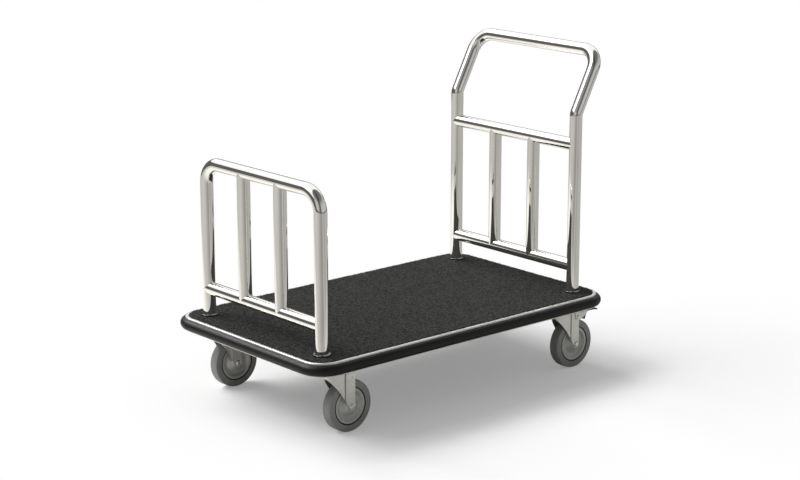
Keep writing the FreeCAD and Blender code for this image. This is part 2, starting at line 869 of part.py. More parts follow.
def wheel_bushes():
    """Two bushes pressed into the rim's boss, running on the sleeve."""
    end = strip_inner - boss_gap
    bush = turned([
        (sleeve_radius + running_fit, end - bush_length, 0),
        (bush_radius, end - bush_length, 0),
        (bush_radius, end, 0),
        (sleeve_radius + running_fit, end, 0),
    ], y_axis)
    return [on_axle(bush), on_axle(moved(bush, y=bush_length - 2 * end))]


def shoe_circle():
    """The centre and radius of the shoe's face at rest, a pedal's travel away from the tyre."""
    turn = math.radians(brake_travel)
    across = trail - pivot_x
    down = axle_z - pivot_z
    centre_x = pivot_x + across * math.cos(turn) - down * math.sin(turn)
    centre_z = pivot_z + across * math.sin(turn) + down * math.cos(turn)
    return centre_x, centre_z, wheel_diameter / 2 + shoe_gap


def brake_pedal():
    """A lever on the brake pin, with a shoe over the tyre and a foot tread behind the fork."""
    centre_x, centre_z, radius = shoe_circle()

    def on_shoe(x):
        return upright(x, centre_z + math.sqrt(radius ** 2 - (x - centre_x) ** 2))

    def from_pivot(x, rise):
        return upright(pivot_x + x, pivot_z + rise)

    start = on_shoe(pivot_x + shoe_start)
    end = on_shoe(pivot_x + shoe_end)
    hub = pedal_hub_radius
    quarter = hub * math.sqrt(0.5)
    bevel = pedal_corner * (1 - math.sqrt(0.5))
    neck_top = from_pivot(pedal_neck_x, pedal_neck_rise)
    neck_bottom = from_pivot(pedal_neck_x, pedal_neck_rise - pedal_neck_depth)
    crest = from_pivot(pedal_crest_x, pedal_crest_rise)
    hollow = from_pivot(pedal_crest_x, pedal_crest_rise - pedal_tread_depth)
    tip = from_pivot(pedal_tip_x, pedal_tip_rise)
    tip_top = tip + z_axis * pedal_tip_radius
    tip_bottom = tip - z_axis * pedal_tip_radius
    corner_low = from_pivot(-hub, hub - pedal_corner)
    corner_high = from_pivot(pedal_corner - hub, hub)
    outline = Part.Wire([
        arc(end, on_shoe(pivot_x + (shoe_start + shoe_end) / 2), start),
        line(start, from_pivot(0, -hub)),
        arc(from_pivot(0, -hub), from_pivot(-quarter, -quarter), from_pivot(-hub, 0)),
        line(from_pivot(-hub, 0), corner_low),
        arc(corner_low, from_pivot(bevel - hub, hub - bevel), corner_high),
        line(corner_high, from_pivot(shoe_end, hub)),
        line(from_pivot(shoe_end, hub), neck_top),
        arc(neck_top, crest, tip_top),
        arc(tip_top, tip + x_axis * pedal_tip_radius, tip_bottom),
        arc(tip_bottom, hollow, neck_bottom),
        arc(neck_bottom, from_pivot(pedal_throat_x, -pedal_throat_drop), end),
    ])
    tread_end = pivot_x + pedal_tip_x + 2 * pedal_tip_radius
    right_edge = [
        (pivot_x - hub, -pedal_half_width, 0),
        (pivot_x + pedal_tread_start, -pedal_half_width, pedal_tread_corner),
        (pivot_x + pedal_tread_full, -pedal_tread_half_width, pedal_tread_corner),
        (tread_end, -pedal_tread_half_width, pedal_tread_corner),
    ]
    left_edge = [(x, -y, rounding) for x, y, rounding in reversed(right_edge)]
    plan = slab(right_edge + left_edge, 0, caster_height)
    lever = side_slab(outline, 2 * pedal_tread_half_width).common(plan)
    hole_start = Vector(pivot_x, -pedal_half_width, pivot_z)
    pin_hole = rod(pivot_diameter / 2 + running_fit, hole_start, y_axis, 2 * pedal_half_width)
    return lever.cut(pin_hole)


def brake_pin():
    """The rivet that the pedal turns on, through both ears of the fork."""
    face = ear_face
    pin = turned(mirrored_profile([
        (0, face + pin_head_height, 0),
        (pin_head_diameter / 2, face + pin_head_height, pin_head_height * 0.8),
        (pin_head_diameter / 2, face, 0),
        (pivot_diameter / 2, face, 0),
    ]), y_axis)
    return moved(pin, pivot_x, 0, pivot_z)


def build_casters():
    plate = top_plate()
    forks = {False: fork(False), True: fork(True)}
    rim, tread, bushes = wheel_rim(), tyre(), wheel_bushes()
    bolts, sleeve = axle_bolt(), axle_sleeve()
    pedal, pin = brake_pedal(), brake_pin()
    for name, x, y in caster_places():
        braked = name.startswith("handle")
        save("caster_plate_" + name, moved(plate, x, y))
        save("fork_" + name, moved(forks[braked], x, y))
        save("axle_bolt_" + name, *[moved(piece, x, y) for piece in bolts])
        save("axle_sleeve_" + name, moved(sleeve, x, y))
        save("wheel_rim_" + name, moved(rim, x, y))
        save("tyre_" + name, moved(tread, x, y))
        save("wheel_bushes_" + name, *[moved(bush, x, y) for bush in bushes])
        if braked:
            save("brake_pedal_" + name, moved(pedal, x, y))
            save("brake_pin_" + name, moved(pin, x, y))


def build_caster_fixings():
    kingpins = [(x, y) for name, x, y in caster_places()]
    upper = swivel_ring(upper_ring_radius, crown_top + swivel_gap, plate_bottom)
    lower_top = crown_bottom - swivel_gap
    lower_bottom = lower_top - lower_ring_height
    lower = swivel_ring(lower_ring_radius, lower_bottom, lower_top)
    save("kingpins", *[moved(kingpin(), x, y) for x, y in kingpins])
    save("swivel_rings", *[moved(ring, x, y) for ring in (upper, lower) for x, y in kingpins])

    bolt_radius = caster_bolt_diameter / 2
    head_top = plate_bottom
    nut_bottom = caster_height + channel_wall
    head = hex_prism(caster_bolt_flats, Vector(0, 0, head_top - caster_bolt_head), caster_bolt_head)
    shank_length = nut_bottom + caster_nut_height + thread_end - head_top
    bolt = head.fuse(rod(bolt_radius, Vector(0, 0, head_top), z_axis, shank_length))
    bolt_nut = hex_prism(caster_bolt_flats, Vector(0, 0, nut_bottom), caster_nut_height).cut(bolt)
    save("caster_bolts", *[moved(bolt, x, y) for x, y in caster_bolt_places()])
    save("caster_nuts", *[moved(bolt_nut, x, y) for x, y in caster_bolt_places()])


build_hoop()
build_handle()
build_post_fixings()
build_deck()
build_casters()
build_caster_fixings()
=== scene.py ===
import math

import bpy
import numpy as np
from bpy.props import FloatProperty, FloatVectorProperty, IntProperty, PointerProperty
from bpy.types import Operator, Panel, PropertyGroup
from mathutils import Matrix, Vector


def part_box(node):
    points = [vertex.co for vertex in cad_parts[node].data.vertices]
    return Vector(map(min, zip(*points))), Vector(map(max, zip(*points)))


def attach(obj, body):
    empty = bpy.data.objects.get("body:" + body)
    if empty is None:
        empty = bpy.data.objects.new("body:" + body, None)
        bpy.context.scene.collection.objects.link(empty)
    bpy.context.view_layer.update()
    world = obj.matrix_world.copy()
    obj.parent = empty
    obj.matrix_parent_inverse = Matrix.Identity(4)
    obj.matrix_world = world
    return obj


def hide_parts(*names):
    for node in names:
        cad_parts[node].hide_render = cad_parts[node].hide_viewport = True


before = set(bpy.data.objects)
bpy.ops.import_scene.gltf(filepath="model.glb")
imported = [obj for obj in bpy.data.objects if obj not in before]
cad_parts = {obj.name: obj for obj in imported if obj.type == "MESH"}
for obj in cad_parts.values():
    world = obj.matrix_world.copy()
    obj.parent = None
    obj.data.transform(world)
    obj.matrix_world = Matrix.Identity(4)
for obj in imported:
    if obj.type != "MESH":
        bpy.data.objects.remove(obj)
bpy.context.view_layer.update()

bl_info = {
    "name": "Luggage Cart Finishes",
    "version": (1, 0, 0),
    "blender": (4, 5, 0),
    "location": "View3D > Sidebar > Luggage Cart",
    "description": "Makes the polished tubes, the carpet and every finish of a luggage cart on its CAD frame",
    "category": "Object",
}

CORNERS = ("hoop_right", "hoop_left", "handle_right", "handle_left")
BRAKED = ("handle_right", "handle_left")


# Sizes and colours

class CartTubeSettings(PropertyGroup):
    """Sizes and finish of the polished tubes."""
    bend_radius: FloatProperty(
        name="Bend radius", description="Radius of every bend, at the middle of the tube",
        default=0.060, unit="LENGTH")
    elbow_throat: FloatProperty(
        name="Elbow throat", description="Inner radius of the tight elbow between post and bow",
        default=0.001, unit="LENGTH")
    columns: IntProperty(name="Columns", description="Faces round each tube", default=80, min=16)
    bend_rings: IntProperty(name="Bend rings", description="Rings in each quarter bend", default=32, min=6)
    tint: FloatVectorProperty(
        name="Tint", description="Colour of the polished stainless steel", subtype="COLOR",
        default=(0.96, 0.945, 0.915))
    smudge_tint: FloatVectorProperty(
        name="Smudge tint", description="Colour where hands have dulled the polish", subtype="COLOR",
        default=(0.89, 0.875, 0.840))
    # Painted shade: the feet's colour is darkened to stand for the dark carpet that they mirror and to dim
    # the highlight round their edges.
    painted_shade_foot_tint: FloatVectorProperty(
        name="Foot tint", description="Colour of the dark turned feet", subtype="COLOR",
        default=(0.27, 0.266, 0.257))


class CartDeckSettings(PropertyGroup):
    """Sizes and colours of the carpet, the trim, the bumper and the under-frame."""
    carpet_pitch: FloatProperty(
        name="Pile pitch", description="Distance between the carpet's grid lines", default=0.0032,
        unit="LENGTH")
    carpet_corner: FloatProperty(
        name="Carpet corner", description="Radius of the carpet's corners", default=0.0563, unit="LENGTH")
    pile_height: FloatProperty(
        name="Pile height", description="How far the loops stand above the lowest pile", default=0.0016,
        unit="LENGTH")
    pile_spill: FloatProperty(
        name="Pile spill", description="How far the outermost loops lie over the trim", default=0.0026,
        unit="LENGTH")
    spill_lift: FloatProperty(
        name="Spill lift", description="Rise of the outermost loops, as a share of the pile height",
        subtype="FACTOR", default=0.2)
    carpet_dark: FloatVectorProperty(
        name="Carpet dark", description="Colour of the darkest loops", subtype="COLOR",
        default=(0.003, 0.003, 0.0028))
    carpet_light: FloatVectorProperty(
        name="Carpet light", description="Colour of the palest loops", subtype="COLOR",
        default=(0.050, 0.050, 0.0468))
    board_dark: FloatVectorProperty(
        name="Board dark", description="Colour of the dark grain in the board's film", subtype="COLOR",
        default=(0.055, 0.042, 0.033))
    board_light: FloatVectorProperty(
        name="Board light", description="Colour of the pale grain in the board's film", subtype="COLOR",
        default=(0.105, 0.082, 0.063))
    trim_tint: FloatVectorProperty(
        name="Trim tint", description="Colour of the bright edge trim", subtype="COLOR",
        default=(0.84, 0.828, 0.80))
    bumper_colour: FloatVectorProperty(
        name="Bumper colour", description="Colour of the rubber bumper", subtype="COLOR",
        default=(0.006, 0.006, 0.006))
    frame_colour: FloatVectorProperty(
        name="Frame colour", description="Colour of the painted under-frame", subtype="COLOR",
        default=(0.018, 0.018, 0.019))


class CartCasterSettings(PropertyGroup):
    """Colours of the casters."""
    fork_tint: FloatVectorProperty(
        name="Fork tint", description="Colour of the zinc-plated sheet", subtype="COLOR",
        default=(0.80, 0.795, 0.765))
    tyre_colour: FloatVectorProperty(
        name="Tyre colour", description="Colour of the grey rubber", subtype="COLOR",
        default=(0.270, 0.272, 0.260))
    rim_colour: FloatVectorProperty(
        name="Rim colour", description="Colour of the moulded rim", subtype="COLOR",
        default=(0.515, 0.515, 0.492))
    # The groove is made dark by painted shade; its width sets where that painted shade lies on the tyre.
    groove_width: FloatProperty(
        name="Groove width", description="Width of the dark groove between rim and tyre", default=0.0026,
        unit="LENGTH")
    # Painted shade: the dark colour painted into the groove, standing for the shade deep in it.
    painted_groove_shade: FloatVectorProperty(
        name="Groove colour", description="Colour deep in the groove", subtype="COLOR",
        default=(0.006, 0.006, 0.006))
    bush_colour: FloatVectorProperty(
        name="Bush colour", description="Colour of the wheel bushes", subtype="COLOR",
        default=(0.55, 0.55, 0.52))
    pedal_colour: FloatVectorProperty(
        name="Pedal colour", description="Colour of the brake pedal", subtype="COLOR",
        default=(0.015, 0.015, 0.015))


class CartStageSettings(PropertyGroup):
    """Camera, light and floor."""
    camera_place: FloatVectorProperty(
        name="Camera place", description="Where the camera stands", subtype="XYZ", unit="LENGTH",
        default=(-3.70856, -4.26778, 1.86289))
    camera_pitch: FloatProperty(
        name="Camera pitch", description="How far the camera looks down", subtype="ANGLE",
        default=math.radians(14.271))
    camera_turn: FloatProperty(
        name="Camera turn", description="The camera's turn about the vertical", subtype="ANGLE",
        default=math.radians(-41.034))
    camera_lens: FloatProperty(
        name="Lens", description="Focal length on a 36 mm wide sensor", subtype="DISTANCE_CAMERA",
        default=88.789)
    key_power: FloatProperty(name="Key power", description="Strength of the soft key light", default=2.87)
    key_width: FloatProperty(
        name="Key width", description="Angle that the key light covers", subtype="ANGLE",
        default=math.radians(25.0))
    key_height: FloatProperty(
        name="Key height", description="Angle of the key light above the floor", subtype="ANGLE",
        default=math.radians(46.0))
    key_turn: FloatProperty(
        name="Key turn", description="Side that the key light comes from, from +X anticlockwise",
        subtype="ANGLE", default=math.radians(118.0))
    key_spread: FloatProperty(
        name="Key spread", description="Angle between the key light's three parts, side by side",
        subtype="ANGLE", default=math.radians(28.0))
    sky_level: FloatProperty(
        name="Sky level", description="Strength of the even light from all round", default=0.28)
    floor_albedo: FloatProperty(
        name="Floor albedo", description="Share of light that the floor gives back", subtype="FACTOR",
        default=0.8)
    floor_lift: FloatProperty(
        name="Floor lift", description="Glow that brings the lit floor up to white", default=0.25)
    floor_warmth: FloatVectorProperty(
        name="Floor warmth", description="Tint of the floor that the polished metal mirrors", subtype="COLOR",
        default=(1.0, 0.985, 0.945))
    flag_height: FloatProperty(
        name="Flag height", description="Angle up to which dark studio flags stand behind the stage",
        subtype="ANGLE", default=math.radians(22.6))
    flag_level: FloatProperty(
        name="Flag level", description="Brightness of the flags that the polished metal mirrors",
        default=0.11)
    front_level: FloatProperty(
        name="Front level", description="Brightness of the grey front that the polished metal mirrors",
        default=0.50)
    gap_level: FloatProperty(
        name="Gap level", description="Brightness of the dark gap in the grey front", default=0.14)
    floor_reach: FloatProperty(
        name="Floor reach", description="Distance at which the mirrored floor gives way to the flags",
        default=4.5, unit="LENGTH")


# Mesh building

def quad_faces(rows, columns, closed):
    """Vertex numbers of the quads of a grid, whose columns may run all the way round."""
    row = np.arange(rows - 1)[:, None]
    column = np.arange(columns if closed else columns - 1)[None, :]
    after = (column + 1) % columns
    low, high = row * columns, (row + 1) * columns
    return np.stack([low + column, low + after, high + after, high + column], axis=-1).reshape(-1, 4)


def new_piece(name, points, quads, triangles=None, quad_uv=None):
    """A mesh object from whole arrays of points, quads and triangles, with an optional UV per quad corner."""
    sharp_angle = math.radians(40.0)
    triangles = np.zeros((0, 3), int) if triangles is None else triangles
    mesh = bpy.data.meshes.new(name)
    corners = np.concatenate([quads.ravel(), triangles.ravel()])
    sizes = np.concatenate([np.full(len(quads), 4), np.full(len(triangles), 3)])
    mesh.vertices.add(len(points))
    mesh.vertices.foreach_set("co", np.asarray(points, np.float32).ravel())
    mesh.loops.add(len(corners))
    mesh.loops.foreach_set("vertex_index", corners.astype(np.int32))
    mesh.polygons.add(len(sizes))
    mesh.polygons.foreach_set("loop_start", np.concatenate([[0], np.cumsum(sizes)[:-1]]).astype(np.int32))
    mesh.polygons.foreach_set("use_smooth", np.ones(len(sizes), bool))
    mesh.update(calc_edges=True)
    if quad_uv is not None:
        layer = mesh.uv_layers.new(name="UVMap")
        spare = np.zeros((3 * len(triangles), 2))
        uv = np.concatenate([quad_uv.reshape(-1, 2), spare])
        layer.data.foreach_set("uv", uv.astype(np.float32).ravel())
    mesh.validate()
    mesh.set_sharp_from_angle(angle=sharp_angle)
    piece = bpy.data.objects.new(name, mesh)
    bpy.context.scene.collection.objects.link(piece)
    return piece


def closed_tube(name, grid):
    """A tube through a grid of rings, with a fan over each end and UVs in metres round and along it."""
    rows, columns = grid.shape[:2]
    quads = quad_faces(rows, columns, True)
    first, last = rows * columns, rows * columns + 1
    column = np.arange(columns)
    after = (column + 1) % columns
    top = (rows - 1) * columns
    fans = np.concatenate([
        np.stack([np.full(columns, first), after, column], axis=-1),
        np.stack([np.full(columns, last), top + column, top + after], axis=-1)])
    points = np.concatenate([grid.reshape(-1, 3), grid[:1].mean(axis=1), grid[-1:].mean(axis=1)])
    round_it = np.linalg.norm(np.roll(grid[1], -1, axis=0) - grid[1], axis=-1)
    across = np.concatenate([[0], np.cumsum(round_it)])
    along = np.concatenate([[0], np.cumsum(np.linalg.norm(np.diff(grid.mean(axis=1), axis=0), axis=-1))])
    low = np.meshgrid(along[:-1], across[:-1], indexing="ij")
    high = np.meshgrid(along[1:], across[1:], indexing="ij")
    uv = np.stack([
        np.stack([low[1], low[0]], axis=-1), np.stack([high[1], low[0]], axis=-1),
        np.stack([high[1], high[0]], axis=-1), np.stack([low[1], high[0]], axis=-1)], axis=2)
    return new_piece(name, points, quads, fans, uv)


def rings(centres, tangents, binormal, radius, columns, slide=None):
    """Circles about a path: centre + radius (cos a * normal + sin a * binormal), slid along the tangent."""
    angle = np.linspace(0, 2 * np.pi, columns, endpoint=False)[None, :, None]
    binormals = np.broadcast_to(binormal, tangents.shape)
    normals = np.cross(binormals, tangents)
    offsets = np.cos(angle) * normals[:, None, :] + np.sin(angle) * binormals[:, None, :]
    grid = centres[:, None, :] + radius * offsets
    if slide is not None:
        grid = grid + slide[:, :, None] * tangents[:, None, :]
    return grid


def straight_path(start, end, count):
    """Evenly spaced points and one tangent from a start to an end."""
    start, end = np.asarray(start, float), np.asarray(end, float)
    share = np.linspace(0, 1, count)[:, None]
    tangent = (end - start) / np.linalg.norm(end - start)
    return start + share * (end - start), np.repeat(tangent[None], count, axis=0)


def bend_path(corner, come, leave, radius, count):
    """A quarter circle that leaves one straight run and joins the next, tangent to both."""
    angle = np.linspace(0, np.pi / 2, count)[1:-1, None]
    centre = corner + radius * (leave - come)
    points = centre - radius * leave * np.cos(angle) + radius * come * np.sin(angle)
    tangents = come * np.cos(angle) + leave * np.sin(angle)
    return points, tangents


def u_path(foot_a, foot_b, up, height, radius, count):
    """Up one leg, over a quarter bend, across, over a second bend and down the other leg."""
    foot_a, foot_b, up = (np.asarray(v, float) for v in (foot_a, foot_b, up))
    across = (foot_b - foot_a) / np.linalg.norm(foot_b - foot_a)
    top_a, top_b = foot_a + up * height, foot_b + up * height
    steps = 12
    runs = [
        straight_path(foot_a, top_a - up * radius, steps),
        bend_path(top_a, up, across, radius, count),
        straight_path(top_a + across * radius, top_b - across * radius, steps),
        bend_path(top_b, across, -up, radius, count),
        straight_path(top_b - up * radius, foot_b, steps),
    ]
    return np.concatenate([r[0] for r in runs]), np.concatenate([r[1] for r in runs])


# Node materials

def node_adder(tree):
    """A function that adds a node to a tree, sets its options and sets or links its inputs."""
    def add(kind, settings=None, **inputs):
        node = tree.nodes.new(kind)
        for key, value in (settings or {}).items():
            setattr(node, key, value)
        for key, value in inputs.items():
            place = {"first": 0, "second": 1, "third": 2}.get(key)
            if place is None:
                name = key.replace("_", " ")
                socket = next(s for s in node.inputs if s.name == name and s.enabled)
            else:
                socket = node.inputs[place]
            if isinstance(value, bpy.types.NodeSocket):
                tree.links.new(value, socket)
            else:
                socket.default_value = value
        return node
    return add


def new_material(name):
    """A material with one Principled shader, and functions that add nodes and link them into the shader."""
    material = bpy.data.materials.new(name)
    material.use_nodes = True
    tree = material.node_tree
    shader = tree.nodes["Principled BSDF"]

    def into(socket, output):
        tree.links.new(output, shader.inputs[socket])

    return material, shader, node_adder(tree), into


def ramp(add, factor, stops):
    """A colour ramp from (position, colour) stops."""
    node = add("ShaderNodeValToRGB", Fac=factor)
    elements = node.color_ramp.elements
    while len(elements) < len(stops):
        elements.new(0.5)
    for element, (position, colour) in zip(elements, stops):
        element.position = position
        element.color = (*colour, 1.0) if len(colour) == 3 else colour
    return node.outputs["Color"]


def span(add, value, low, high, start=0.0, end=1.0):
    """Takes a value between start and end to the span from low to high."""
    node = add("ShaderNodeMapRange", Value=value, From_Min=start, From_Max=end, To_Min=low, To_Max=high)
    return node.outputs["Result"]


def reckon(add, operation, first, second):
    """A sum, a difference, a product or the larger of two values."""
    return add("ShaderNodeMath", {"operation": operation}, first=first, second=second).outputs["Value"]


def between_two(add, factor, low, high):
    """A value that goes from low to high as the factor goes from 0 to 1."""
    node = add("ShaderNodeMix", {"data_type": "FLOAT"}, Factor=factor, A=low, B=high)
    return node.outputs["Result"]


def measure(add, operation, first, **second):
    """A length, a distance or a dot product of vectors."""
    return add("ShaderNodeVectorMath", {"operation": operation}, first=first, **second).outputs["Value"]


def steer(add, operation, first, **second):
    """A vector made from another one, such as its unit vector."""
    return add("ShaderNodeVectorMath", {"operation": operation}, first=first, **second).outputs["Vector"]


def polished_steel(settings):
    """Mirror-polished stainless tube: faint belt lines round it, and soft smudges that dull it a little."""
    material, shader, add, into = new_material("polished_steel")
    shader.inputs["Metallic"].default_value = 1.0
    place = add("ShaderNodeTexCoord")
    smudge = add("ShaderNodeTexNoise", Vector=place.outputs["Object"], Scale=9.0, Detail=5.0, Roughness=0.6)
    stops = [(0.35, settings.tint), (0.85, settings.smudge_tint)]
    into("Base Color", ramp(add, smudge.outputs["Fac"], stops))
    into("Roughness", span(add, smudge.outputs["Fac"], low=0.005, high=0.045))
    stretch = add("ShaderNodeMapping", Vector=place.outputs["UV"])
    stretch.inputs["Scale"].default_value = (12.0, 2600.0, 1.0)
    lines = add("ShaderNodeTexNoise", Vector=stretch.outputs["Vector"], Scale=1.0, Detail=2.0, Roughness=0.5)
    bump = add("ShaderNodeBump", Height=lines.outputs["Fac"], Strength=0.02, Distance=0.0001)
    into("Normal", bump.outputs["Normal"])
    return material


def turned_steel(settings):
    """Bright-turned steel of the post feet, its colour darkened as painted shade for the dark carpet it
    mirrors, clouded where a cloth has missed it.
    """
    material, shader, add, into = new_material("turned_steel")
    shader.inputs["Metallic"].default_value = 1.0
    place = add("ShaderNodeTexCoord")
    smudge = add("ShaderNodeTexNoise", Vector=place.outputs["Object"], Scale=40.0, Detail=4.0)
    duller = tuple(0.8 * c for c in settings.painted_shade_foot_tint)
    into("Base Color", ramp(add, smudge.outputs["Fac"], [(0.35, settings.painted_shade_foot_tint), (0.85, duller)]))
    into("Roughness", span(add, smudge.outputs["Fac"], low=0.03, high=0.11))
    return material


def bright_trim(settings):
    """Bright extruded trim: drawn lines along its length, satin and a little worn."""
    material, shader, add, into = new_material("bright_trim")
    shader.inputs["Metallic"].default_value = 1.0
    place = add("ShaderNodeTexCoord")
    stretch = add("ShaderNodeMapping", Vector=place.outputs["Object"])
    stretch.inputs["Scale"].default_value = (3.0, 3.0, 1500.0)
    lines = add("ShaderNodeTexNoise", Vector=stretch.outputs["Vector"], Scale=1.0, Detail=3.0)
    worn = add("ShaderNodeTexNoise", Vector=place.outputs["Object"], Scale=14.0, Detail=6.0, Roughness=0.65)
    darker = tuple(0.86 * c for c in settings.trim_tint)
    into("Base Color", ramp(add, worn.outputs["Fac"], [(0.35, settings.trim_tint), (0.75, darker)]))
    into("Roughness", span(add, worn.outputs["Fac"], low=0.32, high=0.48))
    bump = add("ShaderNodeBump", Height=lines.outputs["Fac"], Strength=0.08, Distance=0.0002)
    into("Normal", bump.outputs["Normal"])
    return material


def moulded(name, colour, rough, grain_scale, grain_depth, mottle=0.25, metallic=0.0, specular=0.5):
    """Rubber, plastic or paint: a mottled colour, gloss between two roughnesses and a fine grain."""
    material, shader, add, into = new_material(name)
    shader.inputs["Metallic"].default_value = metallic
    shader.inputs["Specular IOR Level"].default_value = specular
    place = add("ShaderNodeTexCoord")
    cloud = add("ShaderNodeTexNoise", Vector=place.outputs["Object"], Scale=28.0, Detail=5.0, Roughness=0.6)
    low = tuple(c * (1.0 - mottle) for c in colour)
    high = tuple(c * (1.0 + mottle) for c in colour)
    into("Base Color", ramp(add, cloud.outputs["Fac"], [(0.25, low), (0.75, high)]))
    into("Roughness", span(add, cloud.outputs["Fac"], *rough))
    grain = add("ShaderNodeTexNoise", Vector=place.outputs["Object"], Scale=grain_scale, Detail=3.0)
    bump = add("ShaderNodeBump", Height=grain.outputs["Fac"], Strength=0.25, Distance=grain_depth)
    into("Normal", bump.outputs["Normal"])
    return material


def paint_groove_shade(material, painted_groove_shade, centre, start, end):
    """Paints shade into a wheel's colour between two distances from its axle, where its groove lies, as a
    painted dark ring.
    """
    # Share of the painted shade at its darkest; the painted shade also takes the metal out of the rim there.
    depth = 0.96
    tree = material.node_tree
    add = node_adder(tree)
    shader = tree.nodes["Principled BSDF"]
    place = add("ShaderNodeTexCoord")
    about = add("ShaderNodeMapping", Vector=place.outputs["Object"])
    about.inputs["Location"].default_value = (-centre.x, 0.0, -centre.z)
    about.inputs["Scale"].default_value = (1.0, 0.0, 1.0)
    distance = measure(add, "LENGTH", about.outputs["Vector"])
    share = span(add, distance, 0.0, depth, start, end)
    colour = shader.inputs["Base Color"].links[0].from_socket
    shaded = add("ShaderNodeMix", {"data_type": "RGBA"}, Factor=share, A=colour, B=(*painted_groove_shade, 1.0))
    tree.links.new(shaded.outputs["Result"], shader.inputs["Base Color"])
    metallic = shader.inputs["Metallic"].default_value
    if metallic > 0.0:
        tree.links.new(span(add, share, metallic, 0.0), shader.inputs["Metallic"])


def plated_sheet(name, tint, rough):
    """Zinc-plated steel: soft cloudy spangle in colour and gloss, and a slight rolled texture."""
    material, shader, add, into = new_material(name)
    shader.inputs["Metallic"].default_value = 1.0
    place = add("ShaderNodeTexCoord")
    spangle = add("ShaderNodeTexVoronoi", Vector=place.outputs["Object"], Scale=160.0)
    cloud = add("ShaderNodeTexNoise", Vector=place.outputs["Object"], Scale=35.0, Detail=5.0, Roughness=0.6)
    both = between_two(add, 0.25, cloud.outputs["Fac"], spangle.outputs["Color"])
    darker = tuple(0.82 * c for c in tint)
    into("Base Color", ramp(add, both, [(0.25, darker), (0.7, tint)]))
    into("Roughness", span(add, cloud.outputs["Fac"], *rough))
    fine = add("ShaderNodeTexNoise", Vector=place.outputs["Object"], Scale=420.0, Detail=2.0)
    bump = add("ShaderNodeBump", Height=fine.outputs["Fac"], Strength=0.12, Distance=0.0003)
    into("Normal", bump.outputs["Normal"])
    return material


def plywood(settings):
    """Dark film-faced plywood: long grain along X showing through in two browns, dull."""
    material, _, add, into = new_material("plywood")
    place = add("ShaderNodeTexCoord")
    stretch = add("ShaderNodeMapping", Vector=place.outputs["Object"])
    stretch.inputs["Scale"].default_value = (2.0, 60.0, 260.0)
    grain = add("ShaderNodeTexNoise", Vector=stretch.outputs["Vector"], Scale=1.0, Detail=6.0, Roughness=0.6)
    stops = [(0.3, settings.board_dark), (0.7, settings.board_light)]
    into("Base Color", ramp(add, grain.outputs["Fac"], stops))
    into("Roughness", span(add, grain.outputs["Fac"], low=0.55, high=0.75))
    bump = add("ShaderNodeBump", Height=grain.outputs["Fac"], Strength=0.2, Distance=0.0006)
    into("Normal", bump.outputs["Normal"])
    return material


def loop_pile(settings):
    """Short dark loop pile: speckled loops a few millimetres across, with darker gaps and a soft sheen."""
    material, shader, add, into = new_material("loop_pile")
    place = add("ShaderNodeTexCoord")
    loops = add("ShaderNodeTexVoronoi", Vector=place.outputs["Object"], Scale=285.0)
    yarn = add("ShaderNodeSeparateColor", Color=loops.outputs["Color"])
    tread = add("ShaderNodeTexNoise", Vector=place.outputs["Object"], Scale=7.0, Detail=4.0, Roughness=0.6)
    tread_share = 0.12
    mixed = add(
        "ShaderNodeMath", {"operation": "MULTIPLY_ADD"}, first=tread.outputs["Fac"], second=tread_share,
        third=yarn.outputs["Red"])
    stops = [(0.36, settings.carpet_dark), (0.80, settings.carpet_light)]
    into("Base Color", ramp(add, mixed.outputs["Value"], stops))
    shader.inputs["Roughness"].default_value = 0.95
    shader.inputs["Sheen Weight"].default_value = 0.06
    shader.inputs["Sheen Roughness"].default_value = 0.5
    shader.inputs["Specular IOR Level"].default_value = 0.15
    bump = add(
        "ShaderNodeBump", {"invert": True}, Height=loops.outputs["Distance"], Strength=0.6, Distance=0.002)
    into("Normal", bump.outputs["Normal"])
    return material


def finish_nodes(material, *nodes):
    """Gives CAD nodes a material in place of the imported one."""
    for node in nodes:
        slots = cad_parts[node].data.materials
        slots.clear()
        slots.append(material)


# Operators, one for each piece or group of like pieces

